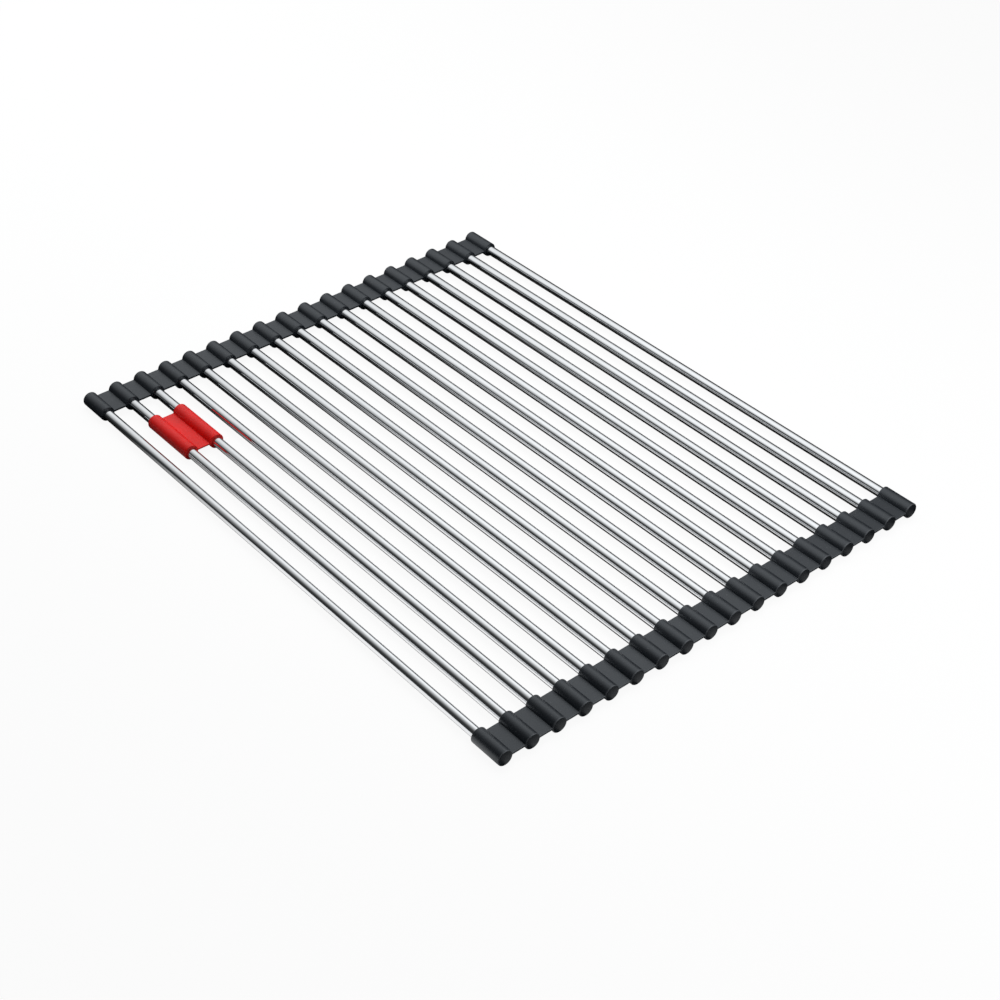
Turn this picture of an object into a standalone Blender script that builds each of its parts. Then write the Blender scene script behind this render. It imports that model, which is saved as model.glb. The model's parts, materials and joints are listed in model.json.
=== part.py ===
"""Roll up drying rack: eighteen steel tubes whose ends sit in two moulded strips.

The tubes run along X and lie side by side along Y. Each strip is a row of round
sockets joined by thin webs, and each web bends along a line halfway between two
tubes. Every socket keeps its own halves of the webs beside it, so the rack folds
as a chain of links. A soft tag with two sleeves holds the second and third tube.
"""

import math

import bmesh
import bpy
from mathutils import Matrix, Vector

MM = 0.001

# Tubes
TUBE_COUNT = 18
TUBE_DIAMETER = 7.0 * MM
TUBE_WALL = 0.5 * MM
TUBE_SIDES = 20

# Clearance between a tube and whatever is moulded around it
FIT_GAP = 0.3 * MM

# Strips
RACK_LENGTH = 440.0 * MM
STRIP_WIDTH = 23.8 * MM
SOCKET_WALL = 1.45 * MM
SOCKET_END_WALL = 3.0 * MM
WEB_SPAN = 9.2 * MM
WEB_THICKNESS = 1.5 * MM
ARC_SIDES = 11

# Bending line of a web: each half ends in a blunt wedge
HINGE_GAP = 0.3 * MM
HINGE_TIP_THICKNESS = 0.1 * MM
HINGE_WEDGE_ANGLE = math.radians(30.0)

# Tag
TAG_FIRST_TUBE = 2
TAG_TO_STRIP = 27.3 * MM
TAG_LENGTH = 45.6 * MM
TAG_WEB_THICKNESS = 1.2 * MM

# Derived sizes: the tag's sleeves are as thick as the sockets, so the rack lies level
TUBE_RADIUS = TUBE_DIAMETER / 2
BORE_RADIUS = TUBE_RADIUS + FIT_GAP
SOCKET_RADIUS = BORE_RADIUS + SOCKET_WALL
SLEEVE_RADIUS = SOCKET_RADIUS
AXIS_HEIGHT = SOCKET_RADIUS
TUBE_PITCH = 2 * SOCKET_RADIUS + WEB_SPAN
HINGE_REACH = TUBE_PITCH / 2
SOCKET_FLOOR_X = RACK_LENGTH / 2 - SOCKET_END_WALL
TUBE_LENGTH = 2 * (SOCKET_FLOOR_X - FIT_GAP)
STRIP_INNER_X = RACK_LENGTH / 2 - STRIP_WIDTH
TAG_START_X = TAG_TO_STRIP - STRIP_INNER_X

# Edges flatter than this are shaded smooth
SHARP_ANGLE = math.radians(40.0)

# Finishes: base colour, roughness, metallic
STEEL = ("brushed_steel", (0.62, 0.63, 0.65), 0.22, 1.0)
CHARCOAL = ("charcoal_silicone", (0.035, 0.038, 0.043), 0.55, 0.0)
RED = ("red_silicone", (0.62, 0.028, 0.02), 0.42, 0.0)


def clear_scene():
    """Remove every object, mesh and material of the open file."""
    for thing in list(bpy.data.objects):
        bpy.data.objects.remove(thing, do_unlink=True)
    for mesh in list(bpy.data.meshes):
        bpy.data.meshes.remove(mesh)
    for material in list(bpy.data.materials):
        bpy.data.materials.remove(material)


def make_material(finish):
    """A Principled material from a finish."""
    name, colour, roughness, metallic = finish
    material = bpy.data.materials.new(name)
    material.use_nodes = True
    shader = material.node_tree.nodes["Principled BSDF"]
    shader.inputs["Base Color"].default_value = (*colour, 1.0)
    shader.inputs["Roughness"].default_value = roughness
    shader.inputs["Metallic"].default_value = metallic
    material.diffuse_color = (*colour, 1.0)
    return material


def tube_axis_y(number):
    """Y of the axis of a tube, counted from 1."""
    return (number - (TUBE_COUNT + 1) / 2) * TUBE_PITCH


def circle(radius, sides):
    """Corners of a regular polygon in Y and Z with a flat side at its bottom."""
    step = 2 * math.pi / sides
    angles = [(corner + 0.5) * step - math.pi / 2 for corner in range(sides)]
    return [(radius * math.cos(angle), radius * math.sin(angle)) for angle in angles]


def sleeve_arc(radius, web_thickness):
    """The upper half of a sleeve's round, from its +Y web to its -Y web.

    An odd count of sides puts a flat facet on top, and its mirror image puts
    one at the bottom. The arc's flat top lies at the radius, so that the round
    rests on the table at its full radius.
    """
    start = math.asin(web_thickness / 2 / radius)
    step = (math.pi - 2 * start) / ARC_SIDES
    reach = radius / math.cos(step / 2)
    angles = [start + step * corner for corner in range(ARC_SIDES + 1)]
    return [(reach * math.cos(angle), reach * math.sin(angle)) for angle in angles]


def half_web(side, thickness):
    """Corners of the web's free end on one side, going from its top to its bottom."""
    tip_half = HINGE_TIP_THICKNESS / 2
    tip_y = HINGE_REACH - HINGE_GAP / 2
    taper_y = tip_y - (thickness / 2 - tip_half) / math.tan(HINGE_WEDGE_ANGLE)
    upper = [(side * taper_y, thickness / 2), (side * tip_y, tip_half)]
    lower = [(y, -z) for y, z in reversed(upper)]
    return upper + lower


def link_outline(radius, web_thickness, web_before, web_after):
    """Outline in Y and Z of a round with its half webs, counter-clockwise from +X."""
    upper = sleeve_arc(radius, web_thickness)
    lower = [(-y, -z) for y, z in upper]
    outline = list(upper)
    if web_before:
        outline += half_web(-1, web_thickness)
    outline += lower
    if web_after:
        outline += reversed(half_web(1, web_thickness))
    return outline


def ring_of(bm, points, x):
    """One vertex per point of an outline, at the given X."""
    return [bm.verts.new((x, y, z)) for y, z in points]


def ring_edges(bm, ring):
    """Edges that close a ring of vertices."""
    edges = []
    for here, following in zip(ring, ring[1:] + ring[:1]):
        edge = bm.edges.get((here, following))
        edges.append(edge or bm.edges.new((here, following)))
    return edges


def wall_between(bm, near, far):
    """Side faces between two rings of the same count."""
    count = len(near)
    for index in range(count):
        following = (index + 1) % count
        bm.faces.new((near[index], near[following], far[following], far[index]))


def end_with_hole(bm, outer, inner):
    """A flat end face between an outline and the hole inside it."""
    edges = ring_edges(bm, outer) + ring_edges(bm, inner)
    bmesh.ops.triangle_fill(bm, edges=edges, use_beauty=True)


def finish_mesh(bm, name, material):
    """Turn a closed bmesh into a mesh with outward faces and smooth rounds."""
    bmesh.ops.recalc_face_normals(bm, faces=bm.faces)
    mesh = bpy.data.meshes.new(name)
    bm.to_mesh(mesh)
    bm.free()
    mesh.materials.append(material)
    mesh.shade_smooth()
    mesh.set_sharp_from_angle(angle=SHARP_ANGLE)
    return mesh


def tube_mesh(material):
    """A round tube along X, open at both ends, centred on its origin."""
    bm = bmesh.new()
    ends = (-TUBE_LENGTH / 2, TUBE_LENGTH / 2)
    outer = [ring_of(bm, circle(TUBE_RADIUS, TUBE_SIDES), x) for x in ends]
    inner = [ring_of(bm, circle(TUBE_RADIUS - TUBE_WALL, TUBE_SIDES), x) for x in ends]
    wall_between(bm, outer[0], outer[1])
    wall_between(bm, inner[0], inner[1])
    wall_between(bm, outer[0], inner[0])
    wall_between(bm, outer[1], inner[1])
    return finish_mesh(bm, "tube", material)


def socket_mesh(name, side, web_before, web_after, material):
    """A blind socket with its half webs; side is -1 for the strip at -X, 1 at +X."""
    bm = bmesh.new()
    outline = link_outline(SOCKET_RADIUS, WEB_THICKNESS, web_before, web_after)
    bore = circle(BORE_RADIUS, TUBE_SIDES)
    closed_end = ring_of(bm, outline, side * RACK_LENGTH / 2)
    open_end = ring_of(bm, outline, side * STRIP_INNER_X)
    bore_mouth = ring_of(bm, bore, side * STRIP_INNER_X)
    bore_floor = ring_of(bm, bore, side * SOCKET_FLOOR_X)
    wall_between(bm, closed_end, open_end)
    wall_between(bm, bore_mouth, bore_floor)
    bm.faces.new(bore_floor)
    bm.faces.new(closed_end)
    end_with_hole(bm, open_end, bore_mouth)
    return finish_mesh(bm, name, material)


def sleeve_mesh(name, web_before, web_after, material):
    """Half of the tag: a sleeve open at both ends with its half of the tag's web."""
    bm = bmesh.new()
    outline = link_outline(SLEEVE_RADIUS, TAG_WEB_THICKNESS, web_before, web_after)
    bore = circle(BORE_RADIUS, TUBE_SIDES)
    ends = (TAG_START_X, TAG_START_X + TAG_LENGTH)
    outer = [ring_of(bm, outline, x) for x in ends]
    inner = [ring_of(bm, bore, x) for x in ends]
    wall_between(bm, outer[0], outer[1])
    wall_between(bm, inner[0], inner[1])
    for outer_ring, inner_ring in zip(outer, inner):
        end_with_hole(bm, outer_ring, inner_ring)
    return finish_mesh(bm, name, material)


def add_row(number):
    """An empty on the line that a row of the rack folds about.

    The first row stays on the table and folds about nothing, so its empty lies
    on its own tube's axis. Every other empty lies on the bending line before it.
    """
    y = tube_axis_y(number)
    if number > 1:
        y -= HINGE_REACH
    row = bpy.data.objects.new(f"row_{number:02d}_pivot", None)
    row.empty_display_size = TUBE_PITCH
    row.matrix_world = Matrix.Translation(Vector((0.0, y, AXIS_HEIGHT)))
    bpy.context.scene.collection.objects.link(row)
    return row


def chain_rows(rows):
    """Parent each row to the one before it, without moving it."""
    for carrier, row in zip(rows, rows[1:]):
        offset = row.matrix_world.translation - carrier.matrix_world.translation
        row.parent = carrier
        row.location = offset


def place_piece(name, mesh, number, row):
    """Put a mesh that is drawn about a tube's axis into its row."""
    piece = bpy.data.objects.new(name, mesh)
    piece.parent = row
    if number > 1:
        piece.location.y = HINGE_REACH
    bpy.context.scene.collection.objects.link(piece)
    return piece


def add_tubes(rows, steel):
    """One tube in each row."""
    mesh = tube_mesh(steel)
    for number, row in enumerate(rows, start=1):
        place_piece(f"tube_{number:02d}", mesh, number, row)


def add_strip(label, side, rows, charcoal):
    """The links of one strip: a first, a last, and like ones between them."""
    first = socket_mesh(f"{label}_first", side, False, True, charcoal)
    middle = socket_mesh(f"{label}_middle", side, True, True, charcoal)
    last = socket_mesh(f"{label}_last", side, True, False, charcoal)
    for number, row in enumerate(rows, start=1):
        mesh = middle
        if number == 1:
            mesh = first
        if number == TUBE_COUNT:
            mesh = last
        place_piece(f"{label}_link_{number:02d}", mesh, number, row)


def add_tag(rows, red):
    """The tag's two halves, on the second and the third tube."""
    front = sleeve_mesh("tag_front", False, True, red)
    back = sleeve_mesh("tag_back", True, False, red)
    row_before = rows[TAG_FIRST_TUBE - 1]
    row_after = rows[TAG_FIRST_TUBE]
    place_piece("tag_sleeve_front", front, TAG_FIRST_TUBE, row_before)
    place_piece("tag_sleeve_back", back, TAG_FIRST_TUBE + 1, row_after)


def main():
    clear_scene()
    steel = make_material(STEEL)
    charcoal = make_material(CHARCOAL)
    red = make_material(RED)
    rows = [add_row(number) for number in range(1, TUBE_COUNT + 1)]
    chain_rows(rows)
    add_tubes(rows, steel)
    add_strip("left_strip", -1, rows, charcoal)
    add_strip("right_strip", 1, rows, charcoal)
    add_tag(rows, red)
    bpy.context.view_layer.update()


main()
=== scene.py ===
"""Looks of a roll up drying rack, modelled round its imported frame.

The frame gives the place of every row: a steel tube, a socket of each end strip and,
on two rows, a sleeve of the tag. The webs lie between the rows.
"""

import json
import math

import bmesh
import bpy
from bpy.props import FloatProperty, FloatVectorProperty, PointerProperty
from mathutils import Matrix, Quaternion, Vector

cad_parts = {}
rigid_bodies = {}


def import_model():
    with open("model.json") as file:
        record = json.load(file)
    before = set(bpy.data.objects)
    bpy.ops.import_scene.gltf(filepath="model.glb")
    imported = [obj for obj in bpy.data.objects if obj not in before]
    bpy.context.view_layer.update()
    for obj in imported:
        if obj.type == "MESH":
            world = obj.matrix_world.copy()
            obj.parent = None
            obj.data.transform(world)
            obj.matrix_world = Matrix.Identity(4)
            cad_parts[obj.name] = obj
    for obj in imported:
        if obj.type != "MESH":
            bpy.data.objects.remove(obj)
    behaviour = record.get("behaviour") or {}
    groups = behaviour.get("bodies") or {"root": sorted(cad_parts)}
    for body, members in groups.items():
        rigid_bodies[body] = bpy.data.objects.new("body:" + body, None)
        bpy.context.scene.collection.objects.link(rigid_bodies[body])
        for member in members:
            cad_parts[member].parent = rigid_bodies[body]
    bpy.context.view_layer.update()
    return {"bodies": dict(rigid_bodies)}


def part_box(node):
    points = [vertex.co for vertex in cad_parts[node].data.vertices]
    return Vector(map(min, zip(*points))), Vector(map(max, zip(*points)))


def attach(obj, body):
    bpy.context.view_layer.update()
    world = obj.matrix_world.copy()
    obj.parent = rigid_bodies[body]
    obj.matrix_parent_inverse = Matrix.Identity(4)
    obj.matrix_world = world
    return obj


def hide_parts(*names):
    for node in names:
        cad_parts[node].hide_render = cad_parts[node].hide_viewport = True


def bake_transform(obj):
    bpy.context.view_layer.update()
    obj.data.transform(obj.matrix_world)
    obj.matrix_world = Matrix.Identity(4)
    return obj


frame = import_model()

bl_info = {
    "name": "Roll up drying rack",
    "version": (1, 0, 0),
    "blender": (4, 5, 0),
    "location": "3D View > Sidebar > Rack",
    "description": "Dresses the packed frame of a roll up drying rack and sets its studio",
    "category": "Object",
}

MM = 0.001

# Rows of the frame, counted from the tag's end of the rack
ROW_COUNT = sum(1 for body in frame["bodies"] if body.startswith("row_"))
STRIPS = {"left": -1, "right": 1}
TAG_ROWS = (2, 3)

# Fineness of the meshes
TUBE_SIDES = 72
SOCKET_SIDES = 64
CORNER_STEPS = 6
WEB_STEPS = 18
WEB_INSET = 0.4 * MM

# Angle between two faces above which their edge is shaded sharp
SHARP_DEGREES = 50.0

# Steel: noise bumps to a metre along X, Y and Z, the levels where a mark begins and is
# full, and what each kind of mark adds to the roughness
STEEL_LINES = (9.0, 1400.0, 1400.0)
STEEL_SMEARS = (26.0, 150.0, 150.0)
STEEL_SPOTS = (420.0, 420.0, 420.0)
SMEAR_LEVELS = (0.45, 0.75)
SPOT_LEVELS = (0.70, 0.78)
LINE_DULLNESS = 0.04
SMEAR_DULLNESS = 0.04
SPOT_DULLNESS = 0.05
SMEAR_SHADE_LEVELS = (0.3, 0.7)
SMEAR_SHADE_SHARE = 0.93
LINE_RELIEF_SHARE = 0.06
LINE_DEPTH = 0.01 * MM

# Silicone, in the same way
STRIP_GRAIN = 3200.0
TAG_GRAIN = 2600.0
SILICONE_CLOUDS = 90.0
SILICONE_LINT = (700.0, 2400.0, 1500.0)
CLOUD_LEVELS = (0.3, 0.7)
CLOUD_SHADE_SHARES = (0.9, 1.12)
LINT_LEVELS = (0.80, 0.86)
LINT_SHARE = 0.25
LINT_COLOUR = (0.35, 0.36, 0.38, 1.0)
GRAIN_DULLNESS = 0.12
CLOUD_DULLNESS = 0.10
GRAIN_RELIEF_SHARE = 0.35
GRAIN_DEPTH = 0.05 * MM
# A paler painted highlight beside the outer ends: where it fades in and out, its grain and
# colour
RIM_HIGHLIGHT_START = (0.0, 0.15 * MM)
RIM_HIGHLIGHT_END = (0.9 * MM, 0.5 * MM)
RIM_HIGHLIGHT_GRAIN = (0.2, 0.6, 0.5, 1.0)
RIM_HIGHLIGHT_COLOUR = (0.075, 0.08, 0.087, 1.0)

# Camera of the main view
CAMERA_PLACE = (0.76671, -0.63138, 0.75077)
CAMERA_AIM = (0.04475, -0.02451, 0.00525)
CAMERA_ROLL = 0.1144
CAMERA_LENS = 68.054
CAMERA_SENSOR = 36.0

# Studio, in metres, degrees and shares
WHITE = (1.0, 1.0, 1.0, 1.0)
FLOOR_SIZE = 12.0
# Pool of light and the tubes' shade, both painted on the floor for reflections
POOL_ALONG = (-0.19, 0.03)
POOL_SLANT_SHARE = 0.20
POOL_END = (0.235, 0.195)
POOL_ACROSS = (0.36, -0.06)
POOL_WHITE_SHARE = 1.0
SHADE_ACROSS = (-0.187, -0.175)
SHADE_REACH = 8.6 * MM
SHADE_GROWTH_SHARE = 0.028
SHADE_SOFTNESS = 1.5 * MM
DIM_SHARE = 0.02
BOUNCE_SHARE = 0.45
CANOPY_SIZE = 3.6
CANOPY_HEIGHT = 0.30
CANOPY_CENTRE = 0.150
CANOPY_SPREAD = 0.335
CANOPY_WIDENING_SHARE = 0.16
CANOPY_EDGE_POWER = 1.375
CANOPY_DIM_SHARE = 0.03
CANOPY_FADE = (-0.60, -0.22)
CANOPY_FADE_SHARE = 0.83
CANOPY_BEND_ALONG = (-0.50, -0.33)
CANOPY_BEND = (0.03, 0.06)
CANOPY_COLOUR = (0.97, 0.99, 1.0)
SURROUND_COLOUR = (0.80, 0.92, 1.0)
FILL_SHARES = (0.15, 0.6)
GLOSS_SHARES = (0.03, 0.30)
GLOW_HEIGHT = 0.30
GLOW_ALONG = (-0.70, -0.50)
GLOW_ACROSS = (0.0, -0.40)
GLOW_SHARE = 0.08
SUN_SPREAD = 35.0
SUN_PLACE = (-0.35, 0.35, 1.0)


class RackSizes(bpy.types.PropertyGroup):
    """Small sizes of the pieces; the large ones come from the frame."""

    tube_diameter: FloatProperty(
        name="Tube diameter",
        description="Outside diameter of a steel tube",
        default=7.0 * MM,
        subtype="DISTANCE",
    )
    tube_wall: FloatProperty(
        name="Tube wall",
        description="Wall of a steel tube",
        default=0.5 * MM,
        subtype="DISTANCE",
    )
    socket_rim: FloatProperty(
        name="Socket rim",
        description="Rounding of a socket's closed end",
        default=0.8 * MM,
        subtype="DISTANCE",
    )
    socket_mouth: FloatProperty(
        name="Socket mouth",
        description="Rounding of a socket's open end, outside",
        default=0.6 * MM,
        subtype="DISTANCE",
    )
    socket_lip: FloatProperty(
        name="Socket lip",
        description="Rounding of a socket's mouth beside its tube",
        default=0.22 * MM,
        subtype="DISTANCE",
    )
    web_thickness: FloatProperty(
        name="Web thickness",
        description="Thickness of the strips' webs",
        default=1.5 * MM,
        subtype="DISTANCE",
    )
    web_edge: FloatProperty(
        name="Web edge",
        description="Rounding along the free edges of a web",
        default=0.3 * MM,
        subtype="DISTANCE",
    )
    web_fillet: FloatProperty(
        name="Web fillet",
        description="Hollow rounding where a web meets a socket or sleeve",
        default=0.25 * MM,
        subtype="DISTANCE",
    )
    tag_web_thickness: FloatProperty(
        name="Tag web thickness",
        description="Thickness of the web between the tag's sleeves",
        default=1.2 * MM,
        subtype="DISTANCE",
    )
    sleeve_rim: FloatProperty(
        name="Sleeve rim",
        description="Rounding of a sleeve's ends",
        default=0.6 * MM,
        subtype="DISTANCE",
    )


class RackFinishes(bpy.types.PropertyGroup):
    """Colours and polish."""

    steel_colour: FloatVectorProperty(
        name="Steel colour",
        description="Colour of the polished tubes",
        default=(0.85, 0.86, 0.875),
        subtype="COLOR",
        min=0.0,
        max=1.0,
    )
    steel_roughness: FloatProperty(
        name="Steel roughness",
        description="How blurred the tubes' reflections are",
        default=0.055,
        min=0.0,
        max=1.0,
    )
    strip_colour: FloatVectorProperty(
        name="Strip colour",
        description="Colour of the end strips' silicone",
        default=(0.0095, 0.0117, 0.0155),
        subtype="COLOR",
        min=0.0,
        max=1.0,
    )
    strip_roughness: FloatProperty(
        name="Strip roughness",
        description="Roughness of the end strips' silicone",
        default=0.42,
        min=0.0,
        max=1.0,
    )
    strip_gloss: FloatProperty(
        name="Strip gloss",
        description="Strength of the sheen of the end strips' silicone",
        default=0.85,
        min=0.0,
        max=1.0,
    )
    strip_sheen: FloatVectorProperty(
        name="Strip sheen",
        description="Tint of the sheen of the end strips' silicone",
        default=(0.90, 0.95, 1.0),
        subtype="COLOR",
        min=0.0,
        max=1.0,
    )
    tag_colour: FloatVectorProperty(
        name="Tag colour",
        description="Colour of the tag's silicone",
        default=(0.76, 0.004, 0.002),
        subtype="COLOR",
        min=0.0,
        max=1.0,
    )
    tag_roughness: FloatProperty(
        name="Tag roughness",
        description="Roughness of the tag's silicone",
        default=0.42,
        min=0.0,
        max=1.0,
    )
    tag_gloss: FloatProperty(
        name="Tag gloss",
        description="Strength of the sheen of the tag's silicone",
        default=0.42,
        min=0.0,
        max=1.0,
    )


class RackStudio(bpy.types.PropertyGroup):
    """Floor and lamps."""

    floor_colour: FloatVectorProperty(
        name="Floor colour",
        description="Colour of the floor where the pool of light lies",
        default=(0.86, 0.86, 0.86),
        subtype="COLOR",
        min=0.0,
        max=1.0,
    )
    floor_white: FloatProperty(
        name="Floor white",
        description="Share of plain white in the floor that the camera sees",
        default=0.93,
        min=0.0,
        max=1.0,
    )
    canopy_strength: FloatProperty(
        name="Canopy strength",
        description="Brightness of the glowing sheet that the steel mirrors",
        default=1.10,
        min=0.0,
    )
    fill_strength: FloatProperty(
        name="Fill strength",
        description="Strength of the light from all round on matt surfaces",
        default=1.0,
        min=0.0,
    )
    sun_strength: FloatProperty(
        name="Sun strength",
        description="Strength of the broad lamp",
        default=1.1,
        min=0.0,
    )


class Term:
    """An output in a shader that can be reckoned with as a number."""

    def __init__(self, shade, output):
        self.shade = shade
        self.output = output

    def _math(self, operation, first, second):
        settings = {"operation": operation}
        return self.shade.node("ShaderNodeMath", settings, {0: first, 1: second})

    def __add__(self, other):
        return self._math("ADD", self, other)

    def __radd__(self, other):
        return self._math("ADD", other, self)

    def __sub__(self, other):
        return self._math("SUBTRACT", self, other)

    def __rsub__(self, other):
        return self._math("SUBTRACT", other, self)

    def __mul__(self, other):
        return self._math("MULTIPLY", self, other)

    def __rmul__(self, other):
        return self._math("MULTIPLY", other, self)

    def __truediv__(self, other):
        return self._math("DIVIDE", self, other)

    def __pow__(self, other):
        return self._math("POWER", self, other)


class Shade:
    """The node tree of a material or a world, filled by short calls."""

    def __init__(self, tree):
        self.tree = tree
        self.tree.nodes.clear()

    def node(self, kind, settings=None, inputs=None, output=0):
        """Add a node, change its settings, fill its sockets and give one output."""
        made = self.tree.nodes.new(kind)
        for name, value in (settings or {}).items():
            setattr(made, name, value)
        for name, value in (inputs or {}).items():
            socket = made.inputs[name]
            if isinstance(value, Term):
                self.tree.links.new(value.output, socket)
            else:
                socket.default_value = value
        return Term(self, made.outputs[output]) if len(made.outputs) else made

    def place(self):
        """Places on the piece, in metres, as the frame has them at rest."""
        return self.node("ShaderNodeTexCoord", output="Object")

    def stretched(self, vector, scale):
        """A vector with each of its parts scaled."""
        settings = {"operation": "MULTIPLY"}
        return self.node("ShaderNodeVectorMath", settings, {0: vector, 1: scale})

    def scaled(self, colour, level):
        """A colour made lighter or darker by a value."""
        settings = {"operation": "SCALE"}
        return self.node("ShaderNodeVectorMath", settings, {0: colour, "Scale": level})

    def noise(self, vector, detail=2.0, roughness=0.5):
        """Noise from 0 to 1, one bump for each unit of the vector."""
        inputs = {"Vector": vector, "Scale": 1.0, "Detail": detail, "Roughness": roughness}
        return self.node("ShaderNodeTexNoise", None, inputs)

    def between(self, value, low, high, start=0.0, end=1.0):
        """A value taken from one span to another, and kept inside it."""
        inputs = {0: value, 1: low, 2: high, 3: start, 4: end}
        return self.node("ShaderNodeMapRange", None, inputs)

    def eased(self, value, low, high):
        """A value taken to 0 at one end of a span and 1 at the other, with soft ends."""
        settings = {"interpolation_type": "SMOOTHSTEP"}
        return self.node("ShaderNodeMapRange", settings, {0: value, 1: low, 2: high})

    def blended(self, factor, first, second):
        """Two colours mixed by a factor."""
        settings = {"data_type": "RGBA"}
        inputs = {0: factor, 6: first, 7: second}
        return self.node("ShaderNodeMix", settings, inputs, output=2)

    def surface(self, shader):
        """Make a shader the tree's result."""
        kind = "ShaderNodeOutputMaterial"
        self.node(kind, None, {"Surface": shader})


def tinted(colour, share):
    """A colour made lighter or darker by a share, with its alpha."""
    return (*(min(1.0, part * share) for part in colour), 1.0)


def new_material(name):
    """An empty material and its shade."""
    material = bpy.data.materials.new(name)
    material.use_nodes = True
    return material, Shade(material.node_tree)


def steel_material(finishes):
    """Drawn and polished stainless tube: lines along X, faint smears, few dull spots."""
    material, shade = new_material("polished_steel")
    place = shade.place()
    lines = shade.noise(shade.stretched(place, STEEL_LINES), detail=2.0)
    smears = shade.noise(shade.stretched(place, STEEL_SMEARS), detail=3.0)
    spots = shade.noise(shade.stretched(place, STEEL_SPOTS), detail=1.0)
    spots = shade.between(spots, *SPOT_LEVELS)
    roughness = finishes.steel_roughness + (lines - 0.5) * LINE_DULLNESS
    roughness = roughness + shade.between(smears, *SMEAR_LEVELS) * SMEAR_DULLNESS
    roughness = roughness + spots * SPOT_DULLNESS
    colour = shade.blended(
        shade.between(smears, *SMEAR_SHADE_LEVELS),
        tinted(finishes.steel_colour, 1.0),
        tinted(finishes.steel_colour, SMEAR_SHADE_SHARE),
    )
    relief = {"Height": lines, "Strength": LINE_RELIEF_SHARE, "Distance": LINE_DEPTH}
    shader = shade.node(
        "ShaderNodeBsdfPrincipled",
        None,
        {
            "Base Color": colour,
            "Metallic": 1.0,
            "Roughness": roughness,
            "Normal": shade.node("ShaderNodeBump", None, relief),
        },
    )
    shade.surface(shader)
    return material


def silicone_material(name, colour, roughness, gloss, sheen, grain, end=None):
    """Moulded silicone: a fine spark-eroded grain, uneven gloss and a little lint.

    Beside the outer ends, at a distance from the middle, it has a paler painted highlight.
    """
    material, shade = new_material(name)
    place = shade.place()
    fine = shade.noise(shade.stretched(place, (grain,) * 3), detail=2.0, roughness=0.6)
    broad = shade.noise(shade.stretched(place, (SILICONE_CLOUDS,) * 3), detail=3.0)
    lint = shade.noise(shade.stretched(place, SILICONE_LINT), detail=0.0)
    lint = shade.between(lint, *LINT_LEVELS)
    darker, lighter = (tinted(colour, share) for share in CLOUD_SHADE_SHARES)
    base = shade.blended(shade.between(broad, *CLOUD_LEVELS), darker, lighter)
    base = shade.blended(lint * LINT_SHARE, base, LINT_COLOUR)
    # A paler painted highlight beside the outer ends, broken by the grain
    if end:
        along = shade.node("ShaderNodeSeparateXYZ", None, {0: place}, output="X")
        away = end - shade.node("ShaderNodeMath", {"operation": "ABSOLUTE"}, {0: along})
        painted_rim_highlight = shade.eased(away, *RIM_HIGHLIGHT_START) * shade.eased(away, *RIM_HIGHLIGHT_END)
        painted_rim_highlight = painted_rim_highlight * shade.between(fine, *RIM_HIGHLIGHT_GRAIN)
        base = shade.blended(painted_rim_highlight, base, RIM_HIGHLIGHT_COLOUR)
    dullness = roughness + (fine - 0.5) * GRAIN_DULLNESS + (broad - 0.5) * CLOUD_DULLNESS
    relief = {"Height": fine, "Strength": GRAIN_RELIEF_SHARE, "Distance": GRAIN_DEPTH}
    shader = shade.node(
        "ShaderNodeBsdfPrincipled",
        None,
        {
            "Base Color": base,
            "Roughness": dullness,
            "Specular IOR Level": gloss,
            "Specular Tint": tinted(sheen, 1.0),
            "Normal": shade.node("ShaderNodeBump", None, relief),
        },
    )
    shade.surface(shader)
    return material


def finish_of(name):
    """A finish of the rack by its name, made the first time that it is asked for."""
    known = bpy.data.materials.get(name)
    if known:
        return known
    finishes = bpy.context.scene.rack_finishes
    if name == "polished_steel":
        return steel_material(finishes)
    if name == "charcoal_silicone":
        colour, roughness, gloss, sheen = (
            finishes.strip_colour,
            finishes.strip_roughness,
            finishes.strip_gloss,
            finishes.strip_sheen,
        )
        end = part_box("right_strip_link_01")[1].x
        return silicone_material(name, colour, roughness, gloss, sheen, STRIP_GRAIN, end)
    colour, roughness, gloss = finishes.tag_colour, finishes.tag_roughness, finishes.tag_gloss
    return silicone_material(name, colour, roughness, gloss, WHITE[:3], TAG_GRAIN)


def row_axis(number):
    """Y and Z of the axis of a row's tube."""
    low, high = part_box(f"tube_{number:02d}")
    return (low.y + high.y) / 2, (low.z + high.z) / 2


def corner(centre, radius, first, last, side):
    """Points of a rounded corner of a profile in X and radius, over part of a circle.

    Angles are in degrees from the direction that side points along X.
    """
    points = []
    for step in range(CORNER_STEPS + 1):
        angle = math.radians(first + (last - first) * step / CORNER_STEPS)
        x = centre[0] + side * radius * math.cos(angle)
        points.append((x, centre[1] + radius * math.sin(angle)))
    return points


def turned(bm, profile, axis, sides, closed=False):
    """Faces of a profile in X and radius, turned about a line along X."""
    rings = []
    for x, radius in profile:
        if radius == 0.0:
            rings.append([bm.verts.new((x, axis[0], axis[1]))])
            continue
        ring = []
        for index in range(sides):
            angle = 2 * math.pi * index / sides
            y = axis[0] + radius * math.cos(angle)
            z = axis[1] + radius * math.sin(angle)
            ring.append(bm.verts.new((x, y, z)))
        rings.append(ring)
    pairs = list(zip(rings, rings[1:]))
    if closed:
        pairs.append((rings[-1], rings[0]))
    for near, far in pairs:
        for index in range(sides):
            following = (index + 1) % sides
            corners = [near[index % len(near)], near[following % len(near)]]
            corners += [far[following % len(far)], far[index % len(far)]]
            bm.faces.new(dict.fromkeys(corners))


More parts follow.
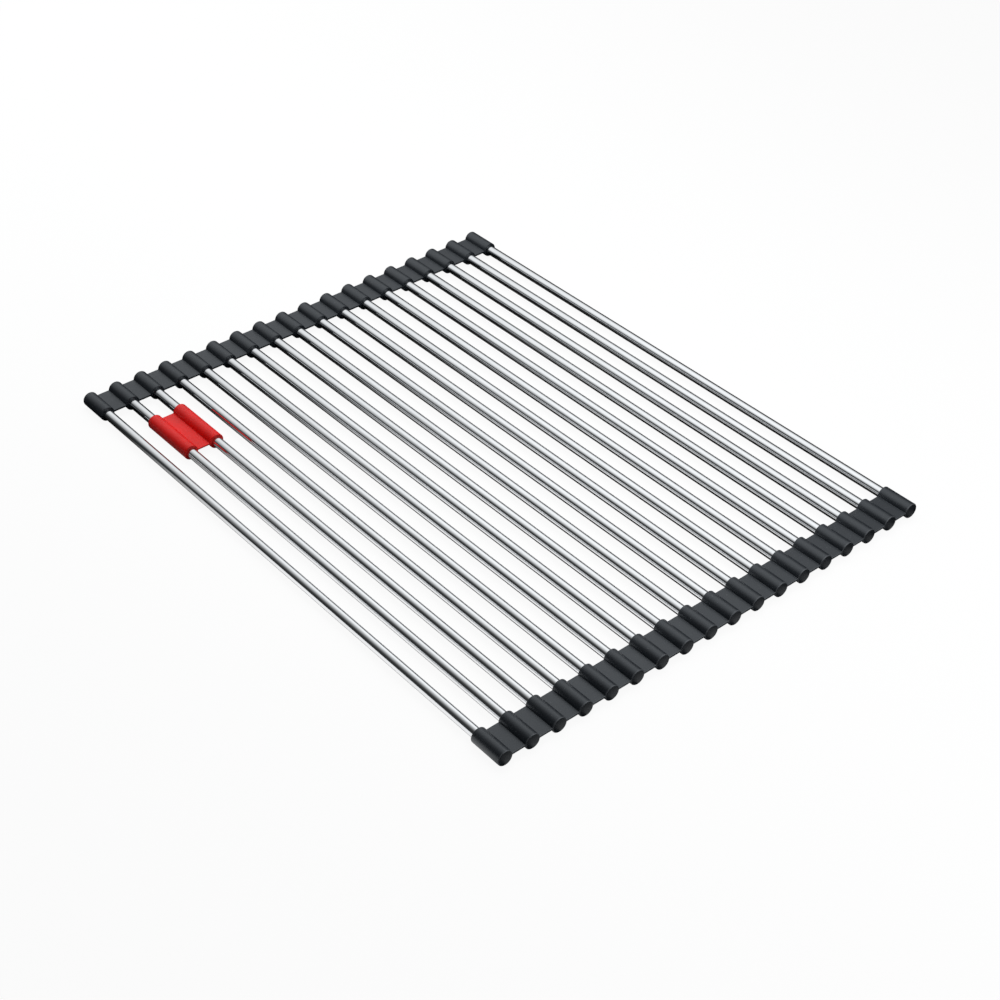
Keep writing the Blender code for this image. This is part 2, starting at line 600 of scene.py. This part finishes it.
def to_piece(bm, name, finish):
    """An object from a closed bmesh, with outward faces and smooth shading."""
    bmesh.ops.recalc_face_normals(bm, faces=bm.faces)
    mesh = bpy.data.meshes.new(name)
    bm.to_mesh(mesh)
    bm.free()
    mesh.shade_smooth()
    mesh.set_sharp_from_angle(angle=math.radians(SHARP_DEGREES))
    mesh.materials.append(finish_of(finish))
    piece = bpy.data.objects.new(name, mesh)
    bpy.context.scene.collection.objects.link(piece)
    return piece


def tube_piece(number, sizes):
    """One steel tube, its end edges broken by a small round."""
    node = f"tube_{number:02d}"
    low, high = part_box(node)
    outer = sizes.tube_diameter / 2
    inner = outer - sizes.tube_wall
    broken = sizes.tube_wall / 3
    profile = corner((low.x + broken, outer - broken), broken, 0.0, 90.0, -1)
    profile += corner((high.x - broken, outer - broken), broken, 90.0, 0.0, 1)
    profile += corner((high.x - broken, inner + broken), broken, 0.0, -90.0, 1)
    profile += corner((low.x + broken, inner + broken), broken, -90.0, 0.0, -1)
    bm = bmesh.new()
    turned(bm, profile, row_axis(number), TUBE_SIDES, closed=True)
    piece = to_piece(bm, f"steel_tube_{number:02d}", "polished_steel")
    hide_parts(node)
    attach(piece, f"row_{number:02d}")


def socket_piece(label, number, sizes):
    """One blind socket of a strip, round, with rounded rims and a lip at its tube."""
    side = STRIPS[label]
    node = f"{label}_strip_link_{number:02d}"
    low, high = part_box(node)
    closed_x, mouth_x = (high.x, low.x) if side > 0 else (low.x, high.x)
    tube_low, tube_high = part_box(f"tube_{number:02d}")
    floor_x = tube_high.x if side > 0 else tube_low.x
    radius = (high.z - low.z) / 2
    bore = sizes.tube_diameter / 2
    rim, mouth, lip = sizes.socket_rim, sizes.socket_mouth, sizes.socket_lip
    profile = [(closed_x, 0.0)]
    profile += corner((closed_x - side * rim, radius - rim), rim, 0.0, 90.0, side)
    profile += corner((mouth_x + side * mouth, radius - mouth), mouth, 90.0, 180.0, side)
    profile += corner((mouth_x + side * lip, bore + lip), lip, 180.0, 270.0, side)
    profile += [(floor_x, bore), (floor_x, 0.0)]
    bm = bmesh.new()
    turned(bm, profile, row_axis(number), SOCKET_SIDES)
    piece = to_piece(bm, f"{label}_socket_{number:02d}", "charcoal_silicone")
    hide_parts(node)
    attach(piece, f"row_{number:02d}")


def web_stations(radius, half, fillet, span):
    """Distances from a row's axis and half thicknesses of a web, to the next row."""
    depth = radius - math.sqrt(radius**2 - (half + fillet) ** 2)
    root = radius - depth
    near = [(root - 4 * fillet, half), (root - fillet, half + fillet)]
    for step in range(CORNER_STEPS + 1):
        angle = math.radians(90.0 * step / CORNER_STEPS)
        along = root + fillet * (1 - math.cos(angle))
        near.append((along, half + fillet * (1 - math.sin(angle))))
    clear_start = near[-1][0]
    clear_span = span - 2 * clear_start
    middle = []
    for step in range(1, WEB_STEPS):
        middle.append((clear_start + clear_span * step / WEB_STEPS, half))
    far = [(span - along, thick) for along, thick in reversed(near)]
    return near + middle + far


def web_section(low_x, high_x, half, edge):
    """Outline in X and Z of a web across its run: a bar with rounded edges."""
    corners = (
        (high_x - edge, half - edge, 0.0),
        (low_x + edge, half - edge, 90.0),
        (low_x + edge, edge - half, 180.0),
        (high_x - edge, edge - half, 270.0),
    )
    outline = []
    for x, z, first in corners:
        for step in range(CORNER_STEPS + 1):
            angle = math.radians(first + 90.0 * step / CORNER_STEPS)
            outline.append((x + edge * math.cos(angle), z + edge * math.sin(angle)))
    return outline


def web_piece(name, number, reach, radius, thickness, sizes, finish):
    """A web from one row to the next.

    Its ends go into the walls of the two rounds that it joins, and a small hollow
    rounding leads up to each of them. It stops a little short of the rounds' rims.
    """
    here, following = row_axis(number), row_axis(number + 1)
    span = following[0] - here[0]
    half, edge = thickness / 2, sizes.web_edge
    stations = web_stations(radius, half, sizes.web_fillet, span)
    bm = bmesh.new()
    rings = []
    for along, thick in stations:
        section = web_section(reach[0] + WEB_INSET, reach[1] - WEB_INSET, thick, edge)
        ring = [bm.verts.new((x, here[0] + along, here[1] + z)) for x, z in section]
        rings.append(ring)
    for near, far in zip(rings, rings[1:]):
        count = len(near)
        for index in range(count):
            after = (index + 1) % count
            bm.faces.new((near[index], near[after], far[after], far[index]))
    bm.faces.new(rings[0])
    bm.faces.new(reversed(rings[-1]))
    piece = to_piece(bm, name, finish)
    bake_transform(piece)


def sleeve_piece(label, number, sizes):
    """One sleeve of the tag, open at both ends, its rims rounded."""
    node = f"tag_sleeve_{label}"
    low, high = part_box(node)
    radius = (high.z - low.z) / 2
    bore = sizes.tube_diameter / 2
    rim, lip = sizes.sleeve_rim, sizes.socket_lip
    profile = corner((low.x + rim, radius - rim), rim, 0.0, 90.0, -1)
    profile += corner((high.x - rim, radius - rim), rim, 90.0, 0.0, 1)
    profile += corner((high.x - lip, bore + lip), lip, 0.0, -90.0, 1)
    profile += corner((low.x + lip, bore + lip), lip, -90.0, 0.0, -1)
    bm = bmesh.new()
    turned(bm, profile, row_axis(number), SOCKET_SIDES, closed=True)
    piece = to_piece(bm, f"tag_{label}", "red_silicone")
    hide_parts(node)
    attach(piece, f"row_{number:02d}")


class RACK_OT_tubes(bpy.types.Operator):
    """Model the steel tubes"""

    bl_idname = "rack.tubes"
    bl_label = "Steel tubes"

    def execute(self, context):
        for number in range(1, ROW_COUNT + 1):
            tube_piece(number, context.scene.rack_sizes)
        return {"FINISHED"}


class RACK_OT_sockets(bpy.types.Operator):
    """Model the round sockets of both end strips"""

    bl_idname = "rack.sockets"
    bl_label = "Sockets"

    def execute(self, context):
        for label in STRIPS:
            for number in range(1, ROW_COUNT + 1):
                socket_piece(label, number, context.scene.rack_sizes)
        return {"FINISHED"}


class RACK_OT_webs(bpy.types.Operator):
    """Model the bending webs of both end strips"""

    bl_idname = "rack.webs"
    bl_label = "Webs"

    def execute(self, context):
        sizes = context.scene.rack_sizes
        for label in STRIPS:
            low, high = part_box(f"{label}_strip_link_01")
            radius = (high.z - low.z) / 2
            for number in range(1, ROW_COUNT):
                web_piece(
                    f"{label}_web_{number:02d}",
                    number,
                    (low.x, high.x),
                    radius,
                    sizes.web_thickness,
                    sizes,
                    "charcoal_silicone",
                )
        return {"FINISHED"}


class RACK_OT_tag(bpy.types.Operator):
    """Model the soft tag: two sleeves and the web between them"""

    bl_idname = "rack.tag"
    bl_label = "Tag"

    def execute(self, context):
        sizes = context.scene.rack_sizes
        for label, number in zip(("front", "back"), TAG_ROWS):
            sleeve_piece(label, number, sizes)
        low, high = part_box("tag_sleeve_front")
        web_piece(
            "tag_web",
            TAG_ROWS[0],
            (low.x, high.x),
            (high.z - low.z) / 2,
            sizes.tag_web_thickness,
            sizes,
            "red_silicone",
        )
        return {"FINISHED"}


class RACK_OT_studio(bpy.types.Operator):
    """Set the floor, the soft light, the pale surroundings and the camera"""

    bl_idname = "rack.studio"
    bl_label = "Studio"

    def execute(self, context):
        studio = context.scene.rack_studio
        add_floor(studio)
        add_canopy(studio)
        set_world(studio)
        add_sun(studio)
        add_camera()
        context.scene.view_settings.view_transform = "Standard"
        return {"FINISHED"}


def stage_sheet(name, size, height, material):
    """A flat square of the studio, level, at a height."""
    bm = bmesh.new()
    bmesh.ops.create_grid(bm, x_segments=1, y_segments=1, size=size / 2)
    mesh = bpy.data.meshes.new(name)
    bm.to_mesh(mesh)
    bm.free()
    mesh.materials.append(material)
    sheet = bpy.data.objects.new(name, mesh)
    sheet.location.z = height
    bpy.context.scene.collection.objects.link(sheet)
    return sheet


def add_floor(studio):
    """A wide floor. The camera sees it white, with soft shadows.

    The steel sees it white where a pool of light is painted on it, before the rack and
    under its right half, striped by painted shade of the tubes, and dim elsewhere.
    """
    material, shade = new_material("floor")
    camera_ray = shade.node("ShaderNodeLightPath", output="Is Camera Ray")
    glossy_ray = shade.node("ShaderNodeLightPath", output="Is Glossy Ray")
    place = shade.place()
    along = shade.node("ShaderNodeSeparateXYZ", None, {0: place}, output="X")
    across = shade.node("ShaderNodeSeparateXYZ", None, {0: place}, output="Y")
    first, second = row_axis(1)[0], row_axis(2)[0]
    pitch = second - first
    slanted = along - (across - first) * POOL_SLANT_SHARE
    pool = shade.eased(slanted, *POOL_ALONG) * shade.eased(along, *POOL_END)
    pool = pool * shade.eased(across, *POOL_ACROSS)
    # Painted shade of the tubes: stripes on the floor before each tube, which only
    # reflections see
    rows = (first - across) / pitch
    before = shade.node("ShaderNodeMath", {"operation": "FRACT"}, {0: rows}) * pitch
    reach = across * SHADE_GROWTH_SHARE + SHADE_REACH
    lit = shade.eased(before - reach, -SHADE_SOFTNESS, SHADE_SOFTNESS)
    lit = lit * shade.eased(before, pitch, pitch - SHADE_SOFTNESS)
    pool = pool * (1.0 - shade.eased(across, *SHADE_ACROSS) * (1.0 - lit))
    dim, bounce, bright = (
        tinted(studio.floor_colour, share) for share in (DIM_SHARE, BOUNCE_SHARE, 1.0)
    )
    paper = shade.blended(glossy_ray, bounce, shade.blended(pool, dim, bright))
    paper = shade.blended(camera_ray, paper, WHITE)
    finish = {"Base Color": paper, "Roughness": 1.0, "Specular IOR Level": 0.0}
    matt = shade.node("ShaderNodeBsdfPrincipled", None, finish)
    white = shade.node("ShaderNodeEmission", None, {"Color": WHITE})
    share = camera_ray * studio.floor_white + glossy_ray * pool * POOL_WHITE_SHARE
    seen = shade.node("ShaderNodeMixShader", None, {0: share, 1: matt, 2: white})
    shade.surface(seen)
    stage_sheet("floor", FLOOR_SIZE, 0.0, material)


def add_canopy(studio):
    """A wide glowing sheet over the rack, bright behind its middle."""
    material, shade = new_material("canopy")
    place = shade.place()
    along = shade.node("ShaderNodeSeparateXYZ", None, {0: place}, output="X")
    across = shade.node("ShaderNodeSeparateXYZ", None, {0: place}, output="Y")
    bend = shade.between(along, *CANOPY_BEND_ALONG, 1.0, 0.0)
    centre = CANOPY_CENTRE - bend * CANOPY_BEND[0]
    spread = CANOPY_SPREAD - CANOPY_WIDENING_SHARE * along + bend * CANOPY_BEND[1]
    off = (across - centre) / spread
    power = {"operation": "EXPONENT"}
    bright = shade.node("ShaderNodeMath", power, {0: -1.0 * (off * off) ** CANOPY_EDGE_POWER})
    level = (bright + CANOPY_DIM_SHARE) * studio.canopy_strength
    level = level * shade.between(along, *CANOPY_FADE, CANOPY_FADE_SHARE, 1.0)
    glow = shade.scaled(CANOPY_COLOUR, level)
    shade.surface(shade.node("ShaderNodeEmission", None, {"Color": glow}))
    canopy = stage_sheet("canopy", CANOPY_SIZE, CANOPY_HEIGHT, material)
    canopy.visible_camera = False
    canopy.visible_shadow = False


def set_world(studio):
    """White for the camera, bright overhead for matt surfaces and dim for gloss."""
    world = bpy.data.worlds.new("studio")
    world.use_nodes = True
    shade = Shade(world.node_tree)
    camera_ray = shade.node("ShaderNodeLightPath", output="Is Camera Ray")
    glossy_ray = shade.node("ShaderNodeLightPath", output="Is Glossy Ray")
    direction = shade.node("ShaderNodeTexCoord", output="Generated")
    along, across, height = (
        shade.node("ShaderNodeSeparateXYZ", None, {0: direction}, output=axis)
        for axis in "XYZ"
    )
    fill = shade.between(height, 0.0, 1.0, *FILL_SHARES) * studio.fill_strength
    glow = shade.eased(along, *GLOW_ALONG) * shade.eased(across, *GLOW_ACROSS)
    glow = glow * shade.between(height, 0.0, GLOW_HEIGHT, GLOW_SHARE, 0.0)
    gloss = shade.between(height, 0.0, 1.0, *GLOSS_SHARES) + glow
    level = fill + glossy_ray * (gloss - fill)
    lit = shade.scaled(SURROUND_COLOUR, level)
    around = shade.node("ShaderNodeBackground", None, {"Color": lit})
    backdrop = shade.node("ShaderNodeBackground", None, {"Color": WHITE})
    seen = shade.node("ShaderNodeMixShader", None, {0: camera_ray, 1: around, 2: backdrop})
    shade.node("ShaderNodeOutputWorld", None, {"Surface": seen})
    bpy.context.scene.world = world


def add_sun(studio):
    """A broad lamp from behind and above, which shapes the matt pieces."""
    data = bpy.data.lights.new("soft_sun", "SUN")
    data.energy = studio.sun_strength
    data.angle = math.radians(SUN_SPREAD)
    sun = bpy.data.objects.new("soft_sun", data)
    sun.rotation_euler = Vector(SUN_PLACE).to_track_quat("Z", "Y").to_euler()
    sun.visible_glossy = False
    bpy.context.scene.collection.objects.link(sun)


def add_camera():
    """The camera of the main view."""
    data = bpy.data.cameras.new("camera")
    data.lens = CAMERA_LENS
    data.sensor_width = CAMERA_SENSOR
    camera = bpy.data.objects.new("camera", data)
    camera.location = CAMERA_PLACE
    aim = Vector(CAMERA_AIM) - Vector(CAMERA_PLACE)
    roll = Quaternion((0.0, 0.0, 1.0), math.radians(CAMERA_ROLL))
    camera.rotation_euler = (aim.to_track_quat("-Z", "Y") @ roll).to_euler()
    bpy.context.scene.collection.objects.link(camera)
    bpy.context.scene.camera = camera


class RACK_PT_panel(bpy.types.Panel):
    """Sizes, finishes and makers of the rack"""

    bl_idname = "RACK_PT_panel"
    bl_label = "Drying rack"
    bl_space_type = "VIEW_3D"
    bl_region_type = "UI"
    bl_category = "Rack"

    def draw(self, context):
        scene = context.scene
        for group in (scene.rack_sizes, scene.rack_finishes, scene.rack_studio):
            box = self.layout.box()
            for name in group.bl_rna.properties.keys():
                if name not in ("rna_type", "name"):
                    box.prop(group, name)
        for operator in OPERATORS:
            self.layout.operator(operator.bl_idname)


OPERATORS = (
    RACK_OT_tubes,
    RACK_OT_sockets,
    RACK_OT_webs,
    RACK_OT_tag,
    RACK_OT_studio,
)
CLASSES = (RackSizes, RackFinishes, RackStudio, *OPERATORS, RACK_PT_panel)


def register():
    for item in CLASSES:
        bpy.utils.register_class(item)
    bpy.types.Scene.rack_sizes = PointerProperty(type=RackSizes)
    bpy.types.Scene.rack_finishes = PointerProperty(type=RackFinishes)
    bpy.types.Scene.rack_studio = PointerProperty(type=RackStudio)


def unregister():
    del bpy.types.Scene.rack_studio
    del bpy.types.Scene.rack_finishes
    del bpy.types.Scene.rack_sizes
    for item in reversed(CLASSES):
        bpy.utils.unregister_class(item)


def main():
    register()
    bpy.ops.rack.tubes()
    bpy.ops.rack.sockets()
    bpy.ops.rack.webs()
    bpy.ops.rack.tag()
    bpy.ops.rack.studio()


if __name__ == "__main__":
    main()
